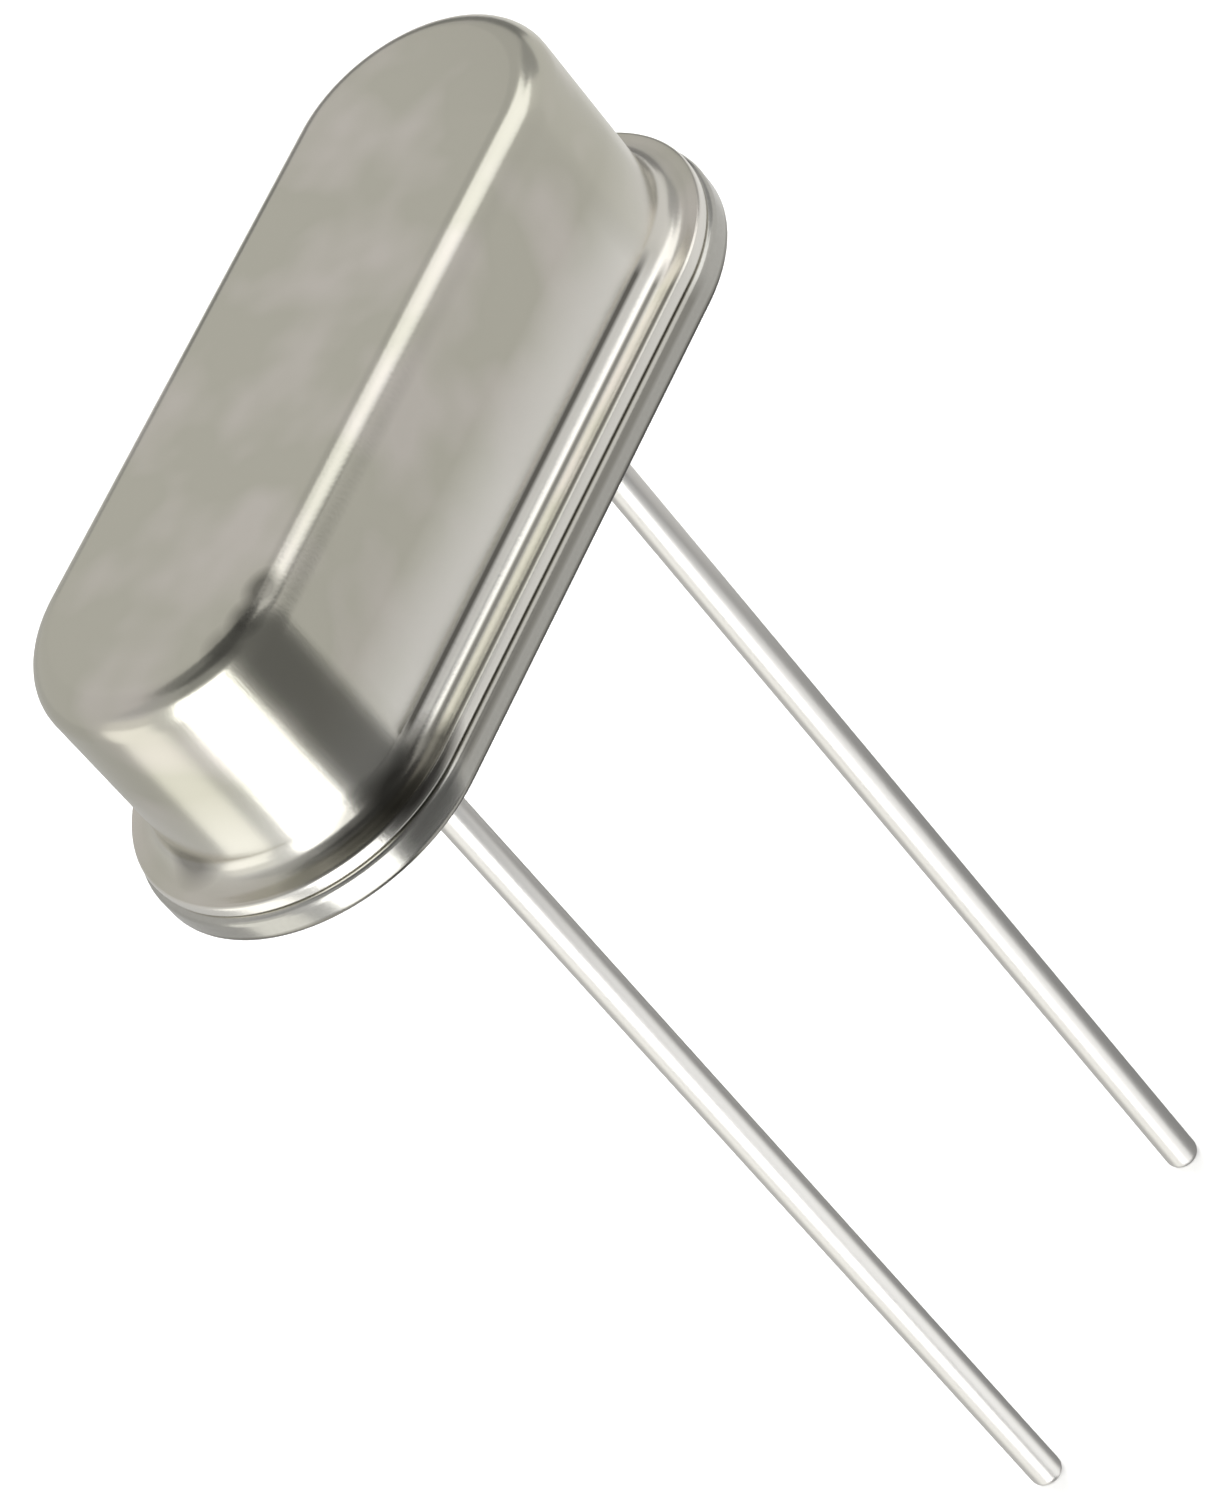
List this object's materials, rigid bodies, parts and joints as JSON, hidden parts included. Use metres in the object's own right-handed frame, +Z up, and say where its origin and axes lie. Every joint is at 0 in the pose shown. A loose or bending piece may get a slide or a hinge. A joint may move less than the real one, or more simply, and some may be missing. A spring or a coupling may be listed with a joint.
{
  "type": "quartz crystal resonator",
  "caption": "Quartz crystal in a low oval metal can, resistance-welded to a flanged base, with long straight wire leads.",
  "frame": {"origin": "centre of the seating plane, which is the underside of the base, midway between the leads", "axes": "+Z up through the can's flat top, X along the can's length and through both leads, leads pointing down -Z"},
  "size_m": [0.0114, 0.0046, 0.0199],
  "materials": {
    "can_nickel_silver": "satin drawn nickel silver",
    "base_plated_steel": "nickel-plated stamped steel",
    "seal_glass": "fused dark sealing glass",
    "lead_plated_wire": "bright nickel-plated drawn wire",
    "clip_spring_strip": "plated spring strip",
    "quartz": "lapped quartz",
    "silver_film": "evaporated silver",
    "silver_epoxy": "matt silver-filled epoxy"
  },
  "bodies": {
    "root": {"can": "can_nickel_silver", "base": "base_plated_steel", "glass_seal_left": "seal_glass", "glass_seal_right": "seal_glass", "lead_left": "lead_plated_wire", "lead_right": "lead_plated_wire", "spring_clip_left": "clip_spring_strip", "spring_clip_right": "clip_spring_strip", "quartz_blank": "quartz", "electrode_top": "silver_film", "electrode_bottom": "silver_film", "adhesive_left": "silver_epoxy", "adhesive_right": "silver_epoxy"}
  },
  "joints": []
}
